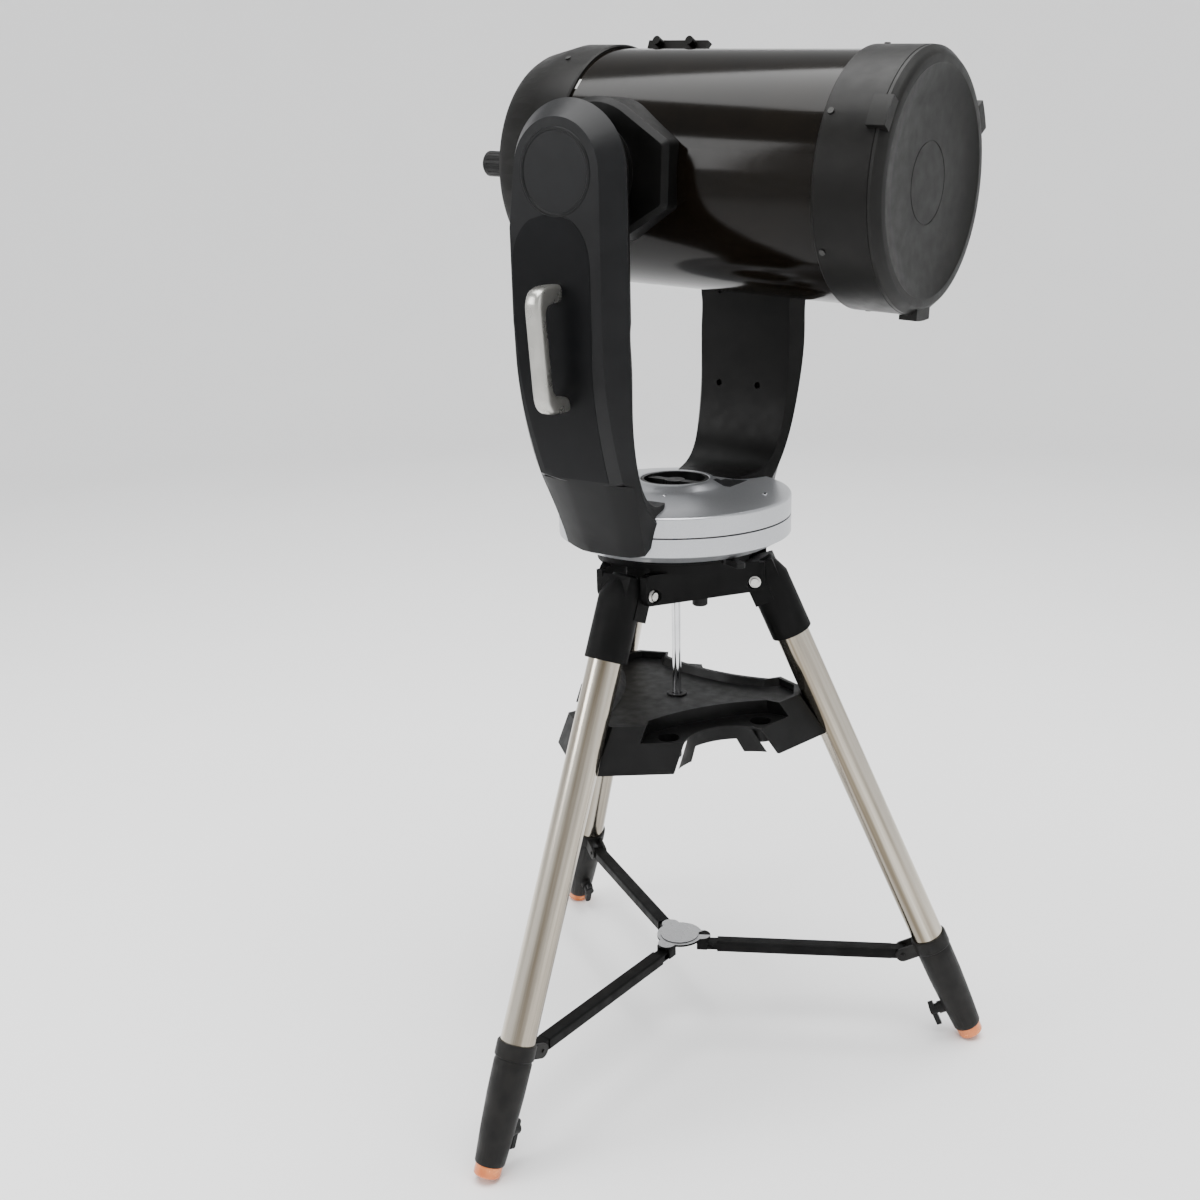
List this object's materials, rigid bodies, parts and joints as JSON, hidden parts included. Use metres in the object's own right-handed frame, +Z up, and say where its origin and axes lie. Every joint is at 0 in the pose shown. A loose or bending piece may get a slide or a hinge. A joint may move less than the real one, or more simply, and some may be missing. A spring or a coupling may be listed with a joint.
{
  "type": "schmidt cassegrain telescope on fork mount and tripod",
  "caption": "Large Schmidt-Cassegrain telescope on a two-arm motorised fork mount, standing on a field tripod with accessory tray and leg spreader.",
  "frame": {"origin": "point on the floor under the azimuth axis", "axes": "+Z up along the azimuth axis, +X the way the tube points at rest, Y along the altitude axis"},
  "size_m": [0.8631, 0.8138, 1.5486],
  "materials": {
    "tripod_black": "fine matte texture",
    "black_plastic": "matte",
    "stainless_tube": "polished",
    "inner_leg_black": "satin",
    "orange_tip": "gloss",
    "fastener_steel": "polished",
    "chrome_rod": "polished",
    "gear_brass": "machined",
    "fork_casting": "satin",
    "fork_cover": "satin",
    "silver_paint": "metallic satin",
    "motor_case": "satin",
    "tube_gloss_black": "high gloss",
    "satin_black": "satin",
    "cover_black": "satin",
    "corrector_glass": "coated",
    "mirror_coating": "polished"
  },
  "bodies": {
    "tripod": {"tripod_head": "tripod_black", "hinge_bolts": "fastener_steel", "mounting_bolts": "fastener_steel", "centre_rod": "chrome_rod", "base_plate": "tripod_black", "azimuth_wheel": "gear_brass"},
    "fork": {"arm_near": "fork_casting", "arm_far": "fork_casting", "arm_cover_near": "fork_cover", "arm_cover_far": "fork_cover", "carry_handles": "silver_paint", "bearings": "fastener_steel", "drive_motors": "motor_case", "base_cover": "silver_paint", "base_shell": "silver_paint", "centre_cap": "black_plastic", "port_panel": "black_plastic"},
    "tube": {"optical_tube": "tube_gloss_black", "front_cell": "satin_black", "corrector_plate": "corrector_glass", "secondary_mirror": "satin_black", "baffle_tube": "satin_black", "rear_cell": "satin_black", "visual_back": "satin_black", "side_plates": "satin_black", "altitude_wheel": "gear_brass", "finder_bracket": "satin_black", "cell_screws": "fastener_steel"},
    "lens_cover": {"lens_cover": "cover_black"},
    "focus_knob": {"focus_knob": "black_plastic"},
    "primary_mirror": {"primary_mirror": "mirror_coating"},
    "altitude_worm": {"altitude_worm": "gear_brass"},
    "azimuth_worm": {"azimuth_worm": "gear_brass"},
    "altitude_clutch": {"altitude_clutch": "black_plastic"},
    "azimuth_clutch": {"azimuth_clutch": "black_plastic"},
    "power_switch": {"power_switch": "black_plastic"},
    "tray": {"accessory_tray": "black_plastic"},
    "tension_knob": {"tension_knob": "black_plastic"},
    "spreader_hub": {"spreader_hub": "tripod_black"},
    "leg_a": {"upper_sleeve_a": "tripod_black", "leg_tube_a": "stainless_tube", "lower_sleeve_a": "tripod_black"},
    "foot_a": {"inner_leg_a": "inner_leg_black", "foot_tip_a": "orange_tip"},
    "clamp_a": {"clamp_knob_a": "black_plastic"},
    "bar_a": {"spreader_bar_a": "tripod_black"},
    "leg_b": {"upper_sleeve_b": "tripod_black", "leg_tube_b": "stainless_tube", "lower_sleeve_b": "tripod_black"},
    "foot_b": {"inner_leg_b": "inner_leg_black", "foot_tip_b": "orange_tip"},
    "clamp_b": {"clamp_knob_b": "black_plastic"},
    "bar_b": {"spreader_bar_b": "tripod_black"},
    "leg_c": {"upper_sleeve_c": "tripod_black", "leg_tube_c": "stainless_tube", "lower_sleeve_c": "tripod_black"},
    "foot_c": {"inner_leg_c": "inner_leg_black", "foot_tip_c": "orange_tip"},
    "clamp_c": {"clamp_knob_c": "black_plastic"},
    "bar_c": {"spreader_bar_c": "tripod_black"}
  },
  "joints": [
    {"name": "azimuth", "type": "hinge", "parent": "tripod", "child": "fork", "pos_m": [0, 0, 0.85], "axis": [0, 0, 1], "continuous": true},
    {"name": "altitude", "type": "hinge", "parent": "fork", "child": "tube", "pos_m": [0, 0, 1.3689], "axis": [0, -1, 0], "range_deg": [-22, 92.85]},
    {"name": "altitude_worm_spin", "type": "hinge", "parent": "fork", "child": "altitude_worm", "pos_m": [0, 0.246, 1.3033], "axis": [1, 0, 0], "range_deg": [-3970, 16720]},
    {"name": "azimuth_worm_spin", "type": "hinge", "parent": "fork", "child": "azimuth_worm", "pos_m": [0, -0.1056, 0.854], "axis": [1, 0, 0], "continuous": true},
    {"name": "altitude_clutch_turn", "type": "hinge", "parent": "fork", "child": "altitude_clutch", "pos_m": [0, 0.27, 1.3689], "axis": [0, 1, 0], "range_deg": [0, 180]},
    {"name": "azimuth_clutch_swing", "type": "hinge", "parent": "fork", "child": "azimuth_clutch", "pos_m": [0.128, -0.06, 0.833], "axis": [0, 0, 1], "range_deg": [0, 50]},
    {"name": "power_switch_rock", "type": "hinge", "parent": "fork", "child": "power_switch", "pos_m": [-0.1665, 0.026, 0.865], "axis": [0, 1, 0], "range_deg": [-9, 9]},
    {"name": "focus_knob_turn", "type": "hinge", "parent": "tube", "child": "focus_knob", "pos_m": [-0.2398, -0.068, 1.37884], "axis": [0.9988, 0, -0.0498], "range_deg": [-3648, 3648]},
    {"name": "mirror_focus", "type": "slide", "parent": "tube", "child": "primary_mirror", "axis": [0.9988, 0, -0.0498], "range_m": [-0.0075, 0.0075]},
    {"name": "lens_cover_off", "type": "slide", "parent": "tube", "child": "lens_cover", "axis": [0.9988, 0, -0.0498], "range_m": [0, 0.08]},
    {"name": "leg_a_fold", "type": "hinge", "parent": "tripod", "child": "leg_a", "pos_m": [-0.00506, -0.1219, 0.782], "axis": [0.9991, -0.0415, 0], "range_deg": [0, 4.5]},
    {"name": "foot_a_extend", "type": "slide", "parent": "leg_a", "child": "foot_a", "axis": [-0.0167, -0.4026, -0.9152], "range_m": [0, 0.34]},
    {"name": "clamp_a_turn", "type": "hinge", "parent": "leg_a", "child": "clamp_a", "pos_m": [-0.01732, -0.41697, 0.04622], "axis": [-0.038, -0.9144, 0.4029], "range_deg": [0, 720]},
    {"name": "bar_a_pivot", "type": "hinge", "parent": "leg_a", "child": "bar_a", "pos_m": [-0.01502, -0.36169, 0.15], "axis": [0.9991, -0.0415, 0], "range_deg": [0, 27.91]},
    {"name": "leg_b_fold", "type": "hinge", "parent": "tripod", "child": "leg_b", "pos_m": [0.10809, 0.05656, 0.782], "axis": [-0.4636, 0.886, 0], "range_deg": [0, 4.5]},
    {"name": "foot_b_extend", "type": "slide", "parent": "leg_b", "child": "foot_b", "axis": [0.357, 0.1868, -0.9152], "range_m": [0, 0.34]},
    {"name": "clamp_b_turn", "type": "hinge", "parent": "leg_b", "child": "clamp_b", "pos_m": [0.36976, 0.19349, 0.04622], "axis": [0.8109, 0.4243, 0.4029], "range_deg": [0, 720]},
    {"name": "bar_b_pivot", "type": "hinge", "parent": "leg_b", "child": "bar_b", "pos_m": [0.32074, 0.16784, 0.15], "axis": [-0.4636, 0.886, 0], "range_deg": [0, 27.91]},
    {"name": "leg_c_fold", "type": "hinge", "parent": "tripod", "child": "leg_c", "pos_m": [-0.10303, 0.06533, 0.782], "axis": [-0.5355, -0.8445, 0], "range_deg": [0, 4.5]},
    {"name": "foot_c_extend", "type": "slide", "parent": "leg_c", "child": "foot_c", "axis": [-0.3403, 0.2158, -0.9152], "range_m": [0, 0.34]},
    {"name": "clamp_c_turn", "type": "hinge", "parent": "leg_c", "child": "clamp_c", "pos_m": [-0.35245, 0.22348, 0.04622], "axis": [-0.7729, 0.4901, 0.4029], "range_deg": [0, 720]},
    {"name": "bar_c_pivot", "type": "hinge", "parent": "leg_c", "child": "bar_c", "pos_m": [-0.30572, 0.19385, 0.15], "axis": [-0.5355, -0.8445, 0], "range_deg": [0, 27.91]},
    {"name": "hub_rise", "type": "slide", "parent": "tripod", "child": "spreader_hub", "axis": [0, 0, 1], "range_m": [0, 0.15705]},
    {"name": "tray_lower", "type": "slide", "parent": "tripod", "child": "tray", "axis": [0, 0, -1], "range_m": [0, 0.0665]},
    {"name": "tension_knob_turn", "type": "hinge", "parent": "tray", "child": "tension_knob", "pos_m": [0, 0, 0.562], "axis": [0, 0, 1], "continuous": true}
  ],
  "couplings": [
    {"joint": "altitude_worm_spin", "follows": "altitude", "ratio": 180},
    {"joint": "azimuth_worm_spin", "follows": "azimuth", "ratio": 180},
    {"joint": "focus_knob_turn", "follows": "mirror_focus", "rad_per_m": 8377.6},
    {"joint": "bar_a_pivot", "follows": "leg_a_fold", "ratio": 6.1918},
    {"joint": "leg_b_fold", "follows": "leg_a_fold", "ratio": 1},
    {"joint": "bar_b_pivot", "follows": "leg_a_fold", "ratio": 6.1918},
    {"joint": "leg_c_fold", "follows": "leg_a_fold", "ratio": 1},
    {"joint": "bar_c_pivot", "follows": "leg_a_fold", "ratio": 6.1918},
    {"joint": "hub_rise", "follows": "leg_a_fold", "m_per_rad": 1.9933},
    {"joint": "tray_lower", "follows": "leg_a_fold", "m_per_rad": 0.84034}
  ]
}
